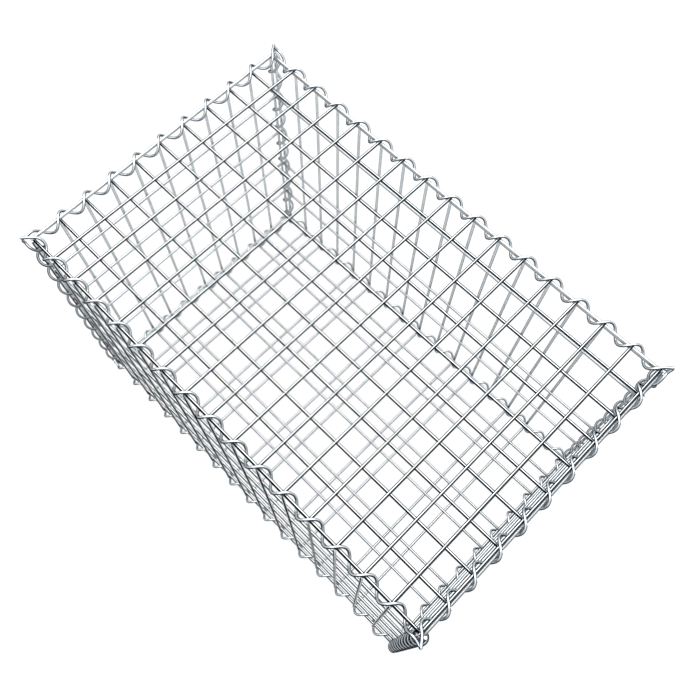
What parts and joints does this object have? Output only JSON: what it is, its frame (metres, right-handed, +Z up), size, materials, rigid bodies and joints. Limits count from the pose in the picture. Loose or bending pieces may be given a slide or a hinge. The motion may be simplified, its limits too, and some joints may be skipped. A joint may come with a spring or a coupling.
{
  "type": "gabion basket",
  "caption": "Closed rectangular basket of welded wire mesh, its lid, base and sides laced together along every edge by wire spirals, to be filled with stones.",
  "frame": {"origin": "under the middle of the basket, on the ground it stands on", "axes": "+X along the long sides, -Y is the front, +Z is up"},
  "size_m": [0.8322, 0.5472, 0.5273],
  "materials": {
    "mesh_wire": "galvanised",
    "spiral_wire": "galvanised"
  },
  "bodies": {
    "root": {"lid_panel": "mesh_wire", "base_panel": "mesh_wire", "front_panel": "mesh_wire", "back_panel": "mesh_wire", "left_panel": "mesh_wire", "right_panel": "mesh_wire", "lid_spiral_front": "spiral_wire", "lid_spiral_back": "spiral_wire", "lid_spiral_left": "spiral_wire", "lid_spiral_right": "spiral_wire", "base_spiral_front": "spiral_wire", "base_spiral_back": "spiral_wire", "base_spiral_left": "spiral_wire", "base_spiral_right": "spiral_wire", "corner_spiral_front_left": "spiral_wire", "corner_spiral_front_right": "spiral_wire", "corner_spiral_back_left": "spiral_wire", "corner_spiral_back_right": "spiral_wire"}
  },
  "joints": []
}
